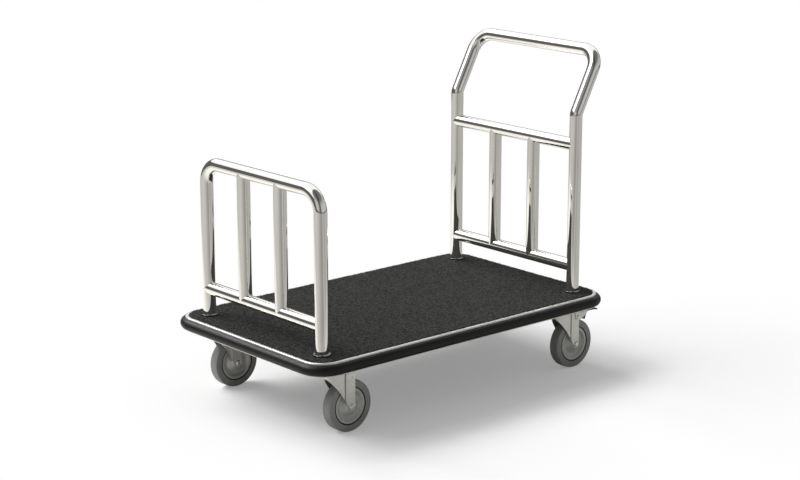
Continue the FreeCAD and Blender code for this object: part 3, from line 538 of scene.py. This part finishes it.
class CART_OT_tubes(Operator):
    """Make the hoop, the handle, their rails and their bars as smooth polished tubes"""
    bl_idname = "cart.tubes"
    bl_label = "Polished Tubes"

    def execute(self, context):
        settings = context.scene.cart_tubes
        steel = polished_steel(settings)
        columns = settings.columns
        angle = np.linspace(0, 2 * np.pi, columns, endpoint=False)
        post_low, post_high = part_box("handle_post_right")
        radius = (post_high.y - post_low.y) / 2
        post_y = -(post_high.y + post_low.y) / 2
        handle_x = (post_high.x + post_low.x) / 2
        bottom = post_low.z
        hoop_low, hoop_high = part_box("hoop_tube")
        hoop_x = (hoop_high.x + hoop_low.x) / 2
        hoop_top = hoop_high.z - radius
        bow_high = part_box("handle_bow")[1]
        bow_top = np.array([bow_high.x - radius, 0.0, bow_high.z - radius])
        elbow_radius = radius + settings.elbow_throat
        lean, elbow_z = self.lean_of(post_high.z, bow_top, handle_x, elbow_radius)
        cope = radius * np.abs(np.sin(angle))
        up, across, forward = np.array([0, 0, 1.0]), np.array([0, 1.0, 0]), np.array([1.0, 0, 0])

        def make(name, grid):
            piece = closed_tube(name + "_polished", grid)
            piece.data.materials.append(steel)
            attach(piece, "cart")
            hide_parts(name)

        def between(start, end, binormal, start_slide, end_slide):
            steps = 14
            centres, tangents = straight_path(start, end, steps)
            slide = np.zeros((steps, columns))
            slide[0], slide[-1] = start_slide, end_slide
            return rings(centres, tangents, binormal, radius, columns, slide)

        # Hoop
        centres, tangents = u_path(
            (hoop_x, -post_y, bottom), (hoop_x, post_y, bottom), up, hoop_top - bottom,
            settings.bend_radius, settings.bend_rings)
        make("hoop_tube", rings(centres, tangents, np.cross(up, across), radius, columns))

        # Bow, with an elbow at each end of its leaning U
        turn = np.linspace(0, lean, settings.bend_rings)[:-1, None]
        ways = np.sin(turn) * forward + np.cos(turn) * up
        sides = np.cross(ways, across)
        middle = np.array([handle_x + elbow_radius, 0.0, post_high.z])
        elbow = middle + elbow_radius * (np.sin(turn) * up - np.cos(turn) * forward)
        lean_way = math.sin(lean) * forward + math.cos(lean) * up
        start = np.array([handle_x, 0.0, elbow_z]) + (elbow_z - post_high.z) * lean_way
        length = np.linalg.norm(bow_top - start)
        centres, tangents = u_path(
            start - post_y * across, start + post_y * across, lean_way, length,
            settings.bend_radius, settings.bend_rings)
        plane = np.broadcast_to(np.cross(lean_way, across), tangents.shape)
        make("handle_bow", rings(
            np.concatenate([elbow - post_y * across, centres, elbow[::-1] + post_y * across]),
            np.concatenate([ways, tangents, -ways[::-1]]),
            np.concatenate([sides, plane, sides[::-1]]), radius, columns))

        # Posts, rails and bars
        for side, y in (("right", -post_y), ("left", post_y)):
            foot, head = (handle_x, y, bottom), (handle_x, y, post_high.z)
            make("handle_post_" + side, between(foot, head, across, 0, 0))
        rails = {"hoop_lower_rail": hoop_x, "handle_lower_rail": handle_x, "handle_upper_rail": handle_x}
        for name, x in rails.items():
            low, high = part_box(name)
            z = (low.z + high.z) / 2
            make(name, between((x, -post_y, z), (x, post_y, z), up, cope, -cope))
        for end, x in (("hoop", hoop_x), ("handle", handle_x)):
            rail_low, rail_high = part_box(end + "_lower_rail")
            rail_z = (rail_low.z + rail_high.z) / 2
            for side in ("right", "left"):
                low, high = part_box(end + "_bar_" + side)
                y = (low.y + high.y) / 2
                make(end + "_bar_" + side, between((x, y, rail_z), (x, y, hoop_top), across, cope, -cope))

        finish_nodes(turned_steel(settings), "post_feet")
        return {"FINISHED"}

    @staticmethod
    def lean_of(post_top, bow_top, handle_x, elbow_radius):
        """The bow's lean and the elbow's height, which lies elbow_radius * tan(lean / 2) above the post."""
        rounds = 20
        elbow_z = post_top
        for _ in range(rounds):
            lean = math.atan2(bow_top[0] - handle_x, bow_top[2] - elbow_z)
            elbow_z = post_top + elbow_radius * math.tan(lean / 2)
        return lean, elbow_z


class CART_OT_carpet(Operator):
    """Make the carpet as a laid sheet with a loop pile"""
    bl_idname = "cart.carpet"
    bl_label = "Carpet"

    def execute(self, context):
        settings = context.scene.cart_deck
        low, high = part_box("carpet")
        half_x, half_y = (high.x - low.x) / 2, (high.y - low.y) / 2
        middle_x = (high.x + low.x) / 2
        corner = settings.carpet_corner
        pitch = settings.carpet_pitch
        least_reach = 1e-9
        rows = int(2 * half_x / pitch)
        columns = int(2 * half_y / pitch)
        # Grid inside an outline with round corners
        x = np.linspace(-half_x, half_x, rows)
        share = np.linspace(-1, 1, columns)
        past = np.clip(np.abs(x) - (half_x - corner), 0, corner)
        width = half_y - corner + np.sqrt(corner ** 2 - past ** 2)
        grid_x = np.repeat(x[:, None], columns, axis=1)
        grid_y = share[None, :] * width[:, None]
        # Pile, whose outermost loops lie over the trim
        pile = self.loops(rows, columns)
        rim = np.zeros((rows, columns), bool)
        rim[[0, -1], :] = True
        rim[:, [0, -1]] = True
        spill = np.where(rim, settings.pile_spill * pile, 0)
        lift = np.where(rim, settings.spill_lift * settings.pile_height, 0)
        over_x = np.clip(np.abs(grid_x) - (half_x - corner), 0, None) * np.sign(grid_x)
        over_y = np.clip(np.abs(grid_y) - (half_y - corner), 0, None) * np.sign(grid_y)
        reach = np.maximum(np.hypot(over_x, over_y), least_reach)
        grid_x = grid_x + spill * over_x / reach + middle_x
        grid_y = grid_y + spill * over_y / reach
        top_z = high.z + settings.pile_height * (pile - 0.5) + lift
        top = np.stack([grid_x, grid_y, top_z], axis=-1)
        base = np.stack([grid_x, grid_y, np.full_like(grid_x, low.z)], axis=-1)
        base[rim] = top[rim] - (0, 0, settings.pile_height)
        # Faces of the top, of the base and of the wall between them
        count = rows * columns
        quads = quad_faces(rows, columns, False)
        ring = np.concatenate([
            np.arange(columns), np.arange(1, rows) * columns + columns - 1,
            (rows - 1) * columns + np.arange(columns - 2, -1, -1), np.arange(rows - 2, 0, -1) * columns])
        onward = np.roll(ring, -1)
        walls = np.stack([ring + count, ring, onward, onward + count], axis=-1)
        faces = np.concatenate([quads[:, ::-1], quads + count, walls])
        points = np.concatenate([top.reshape(-1, 3), base.reshape(-1, 3)])
        piece = new_piece("carpet_pile", points, faces)
        piece.data.materials.append(loop_pile(settings))
        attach(piece, "cart")
        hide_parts("carpet")
        return {"FINISHED"}

    @staticmethod
    def loops(rows, columns):
        """Uneven loop tops from 0 to 1, from seeded random heights that are eased by their neighbours."""
        seed = 7
        own_share, neighbour_share = 0.5, 0.125
        heights = np.random.default_rng(seed).random((rows, columns))
        eased = heights.copy()
        eased[1:-1, 1:-1] = own_share * heights[1:-1, 1:-1] + neighbour_share * (
            heights[:-2, 1:-1] + heights[2:, 1:-1] + heights[1:-1, :-2] + heights[1:-1, 2:])
        return (eased - eased.min()) / (eased.max() - eased.min())


class CART_OT_deck(Operator):
    """Finish the trim, the bumper, the board and the under-frame"""
    bl_idname = "cart.deck"
    bl_label = "Deck Finishes"

    def execute(self, context):
        settings = context.scene.cart_deck
        finish_nodes(bright_trim(settings), "edge_trim")
        rubber = moulded(
            "bumper_rubber", settings.bumper_colour, rough=(0.38, 0.48), grain_scale=900.0,
            grain_depth=0.0002, specular=0.28)
        finish_nodes(rubber, "bumper")
        finish_nodes(plywood(settings), "deck_board")
        paint = moulded(
            "frame_paint", settings.frame_colour, rough=(0.32, 0.48), grain_scale=260.0, grain_depth=0.0003)
        finish_nodes(paint, "deck_channel_hoop_end", "deck_channel_handle_end", "deck_rails")
        zinc = plated_sheet("zinc_hardware", context.scene.cart_casters.fork_tint, rough=(0.22, 0.40))
        finish_nodes(
            zinc, "deck_screws", "trim_screws", "post_bolts", "post_spreader_plates", "caster_bolts",
            "caster_nuts", "kingpins", "swivel_rings")
        return {"FINISHED"}


class CART_OT_casters(Operator):
    """Finish the forks, wheels, axles and brakes"""
    bl_idname = "cart.casters"
    bl_label = "Caster Finishes"

    def execute(self, context):
        settings = context.scene.cart_casters
        sheet = plated_sheet("pressed_zinc", settings.fork_tint, rough=(0.30, 0.46))
        brighter = tuple(min(1.0, 1.1 * c) for c in settings.fork_tint)
        bright = plated_sheet("axle_zinc", brighter, rough=(0.18, 0.32))
        bush = moulded(
            "bush_plastic", settings.bush_colour, rough=(0.40, 0.55), grain_scale=500.0,
            grain_depth=0.0003, mottle=0.10)
        pedal = moulded(
            "pedal_plastic", settings.pedal_colour, rough=(0.40, 0.55), grain_scale=420.0,
            grain_depth=0.0004, specular=0.3)
        # Distances of the painted shade's band from the groove's edges, on the tyre and on the rim.
        tyre_shade_fade = (0.0008, 0.0001)
        rim_shade_fade = (-0.0009, -0.0002)
        for corner in CORNERS:
            finish_nodes(sheet, "fork_" + corner, "caster_plate_" + corner)
            finish_nodes(bright, "axle_bolt_" + corner, "axle_sleeve_" + corner)
            low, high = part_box("wheel_rim_" + corner)
            centre = (low + high) / 2
            edge = (high.x - low.x) / 2
            groove = edge + settings.groove_width
            tyre = moulded(
                "tyre_rubber_" + corner, settings.tyre_colour, rough=(0.46, 0.62), grain_scale=700.0,
                grain_depth=0.0004, mottle=0.12)
            paint_groove_shade(tyre, settings.painted_groove_shade, centre, groove + tyre_shade_fade[0], groove + tyre_shade_fade[1])
            finish_nodes(tyre, "tyre_" + corner)
            rim = moulded(
                "rim_plastic_" + corner, settings.rim_colour, rough=(0.38, 0.50), grain_scale=500.0,
                grain_depth=0.0002, mottle=0.10, metallic=0.35)
            paint_groove_shade(rim, settings.painted_groove_shade, centre, edge + rim_shade_fade[0], edge + rim_shade_fade[1])
            finish_nodes(rim, "wheel_rim_" + corner)
            finish_nodes(bush, "wheel_bushes_" + corner)
        for corner in BRAKED:
            finish_nodes(pedal, "brake_pedal_" + corner)
            finish_nodes(bright, "brake_pin_" + corner)
        return {"FINISHED"}


class CART_OT_stage(Operator):
    """Set up the floor, the light and the camera"""
    bl_idname = "cart.stage"
    bl_label = "Stage"

    def execute(self, context):
        scene = context.scene
        settings = scene.cart_stage
        scene.view_settings.view_transform = "Standard"
        self.world(scene, settings)
        self.floor(settings)
        self.key_light(scene, settings)
        lens = bpy.data.cameras.new("photo_camera")
        lens.lens = settings.camera_lens
        lens.sensor_width = 36.0
        lens.clip_end = 100.0
        camera = bpy.data.objects.new("photo_camera", lens)
        camera.location = settings.camera_place
        camera.rotation_euler = (math.pi / 2 - settings.camera_pitch, 0.0, settings.camera_turn)
        scene.collection.objects.link(camera)
        scene.camera = camera
        return {"FINISHED"}

    def world(self, scene, settings):
        """White where it is seen, an even soft light, and a studio for the polished metal to mirror.

        The mirrored studio is white high up behind the cart and dark below the flags' edge, which drops
        towards the handle. In front it is grey with a dark gap at one heading, and darkens with height.
        """
        edge_drop, edge_blur = 0.78, 0.012
        gap_heading, gap_start, gap_core = (-0.545, -0.838, 0.0), 0.92, 0.99
        dark_share, dark_start, dark_full = 0.30, 0.38, 0.74
        front_end, back_start = -0.02, 0.10
        world = bpy.data.worlds.new("studio")
        world.use_nodes = True
        tree = world.node_tree
        add = node_adder(tree)
        path = add("ShaderNodeLightPath").outputs
        way = add("ShaderNodeTexCoord").outputs["Generated"]
        x, y, z = add("ShaderNodeSeparateXYZ", Vector=way).outputs
        flag_top = math.sin(settings.flag_height)
        edge = span(add, x, flag_top, edge_drop * flag_top, start=-0.3, end=0.4)
        above = reckon(add, "SUBTRACT", z, edge)
        behind = span(add, above, settings.flag_level, 1.0, start=-edge_blur, end=edge_blur)
        heading = steer(add, "NORMALIZE", steer(add, "MULTIPLY", way, second=(1.0, 1.0, 0.0)))
        toward = measure(add, "DOT_PRODUCT", heading, second=gap_heading)
        gap = span(add, toward, settings.front_level, settings.gap_level, start=gap_start, end=gap_core)
        fade = span(add, z, 1.0, dark_share, start=dark_start, end=dark_full)
        before = reckon(add, "MULTIPLY", gap, fade)
        side = span(add, y, 0.0, 1.0, start=front_end, end=back_start)
        mirrored = between_two(add, side, before, behind)
        through = reckon(add, "MAXIMUM", path["Is Camera Ray"], path["Is Transmission Ray"])
        seen = span(add, through, settings.sky_level, 1.0)
        level = between_two(add, path["Is Glossy Ray"], seen, mirrored)
        background = tree.nodes["Background"]
        background.inputs["Color"].default_value = (1.0, 1.0, 1.0, 1.0)
        tree.links.new(level, background.inputs["Strength"])
        scene.world = world

    def floor(self, settings):
        """A wide pale floor that takes shadow, lifted to white where it is seen lit, greyer in the mirrors.

        In the mirrors its grey is painted light and shade that goes by the heading from the middle: painted
        dim towards the front, painted brighter to both sides, close to the cart and behind it, and as dark as
        the flags beyond the floor's reach.
        """
        half = 40.0
        front_way, left_way = (-0.423, -0.906, 0.0), (-0.906, 0.423, 0.0)
        behind_cart = (-0.2, 0.9, 0.0)
        points = np.array([(-half, -half, 0), (half, -half, 0), (half, half, 0), (-half, half, 0)])
        floor = new_piece("studio_floor", points, np.array([[0, 1, 2, 3]]))
        material = bpy.data.materials.new("studio_floor")
        material.use_nodes = True
        tree = material.node_tree
        tree.nodes.clear()
        add = node_adder(tree)
        path = add("ShaderNodeLightPath").outputs
        place = add("ShaderNodeTexCoord").outputs["Object"]
        away = measure(add, "LENGTH", place)
        heading = steer(add, "NORMALIZE", place)
        toward = measure(add, "DOT_PRODUCT", heading, second=front_way)
        aside = measure(add, "DOT_PRODUCT", heading, second=left_way)
        # Painted light and shade on the floor in the mirrors: dim towards the front, brighter to the sides,
        # and a painted pool of light close to the cart and behind it.
        dim = span(add, toward, low=0.48, high=0.33, start=0.60, end=1.0)
        left = span(add, aside, low=0.0, high=0.14, start=0.2, end=1.0)
        right = span(add, aside, low=0.0, high=0.15, start=-0.05, end=-0.20)
        past_right = span(add, aside, low=1.0, high=0.0, start=-0.34, end=-0.50)
        sides = reckon(add, "ADD", left, reckon(add, "MULTIPLY", right, past_right))
        close = span(add, away, low=0.40, high=0.0, start=0.5, end=1.5)
        apart = measure(add, "DISTANCE", place, second=behind_cart)
        back = span(add, apart, low=0.50, high=0.0, start=0.9, end=1.7)
        near = reckon(add, "MAXIMUM", close, back)
        bright = reckon(add, "ADD", reckon(add, "ADD", dim, sides), near)
        ahead = add("ShaderNodeSeparateXYZ", Vector=heading).outputs["Y"]
        reach = span(add, ahead, 2.0 * settings.floor_reach, settings.floor_reach, start=-0.5, end=0.2)
        beyond = reckon(add, "SUBTRACT", away, reach)
        far = span(add, beyond, low=0.0, high=1.0, start=-0.15, end=0.15)
        mirrored = between_two(add, far, bright, settings.flag_level)
        albedo = between_two(add, path["Is Glossy Ray"], settings.floor_albedo, mirrored)
        tint = add(
            "ShaderNodeMix", {"data_type": "RGBA"}, Factor=path["Is Glossy Ray"], A=(1.0, 1.0, 1.0, 1.0),
            B=(*settings.floor_warmth, 1.0)).outputs["Result"]
        diffuse = add("ShaderNodeBsdfDiffuse", Color=steer(add, "SCALE", tint, Scale=albedo))
        lift = span(add, path["Is Camera Ray"], 0.0, settings.floor_lift)
        glow = add("ShaderNodeEmission", Strength=lift)
        both = add("ShaderNodeAddShader", first=diffuse.outputs["BSDF"], second=glow.outputs["Emission"])
        add("ShaderNodeOutputMaterial", Surface=both.outputs["Shader"])
        floor.data.materials.append(material)

    def key_light(self, scene, settings):
        """A soft light from the upper left, broadened by three equal parts side by side."""
        parts = (-1, 0, 1)
        lamp = bpy.data.lights.new("key_light", "SUN")
        lamp.energy = settings.key_power / len(parts)
        lamp.angle = settings.key_width
        for part in parts:
            key = bpy.data.objects.new("key_light", lamp)
            turn = settings.key_turn + part * settings.key_spread
            key.rotation_euler = (0.0, math.pi / 2 - settings.key_height, turn)
            scene.collection.objects.link(key)


class CART_PT_panel(Panel):
    """Sidebar list of the cart's operators"""
    bl_idname = "CART_PT_panel"
    bl_label = "Luggage Cart"
    bl_space_type = "VIEW_3D"
    bl_region_type = "UI"
    bl_category = "Luggage Cart"

    def draw(self, context):
        for operator in STEPS:
            self.layout.operator(operator.bl_idname)


STEPS = (CART_OT_tubes, CART_OT_carpet, CART_OT_deck, CART_OT_casters, CART_OT_stage)
SETTINGS = {
    "cart_tubes": CartTubeSettings,
    "cart_deck": CartDeckSettings,
    "cart_casters": CartCasterSettings,
    "cart_stage": CartStageSettings,
}


def register():
    """Registers the settings, the operators and the panel."""
    for name, group in SETTINGS.items():
        bpy.utils.register_class(group)
        setattr(bpy.types.Scene, name, PointerProperty(type=group))
    for cls in (*STEPS, CART_PT_panel):
        bpy.utils.register_class(cls)


def unregister():
    """Takes the panel, the operators and the settings out again."""
    for cls in (CART_PT_panel, *reversed(STEPS)):
        bpy.utils.unregister_class(cls)
    for name, group in SETTINGS.items():
        delattr(bpy.types.Scene, name)
        bpy.utils.unregister_class(group)


def main():
    """Makes every piece and the stage."""
    register()
    bpy.ops.cart.tubes()
    bpy.ops.cart.carpet()
    bpy.ops.cart.deck()
    bpy.ops.cart.casters()
    bpy.ops.cart.stage()


if __name__ == "__main__":
    main()
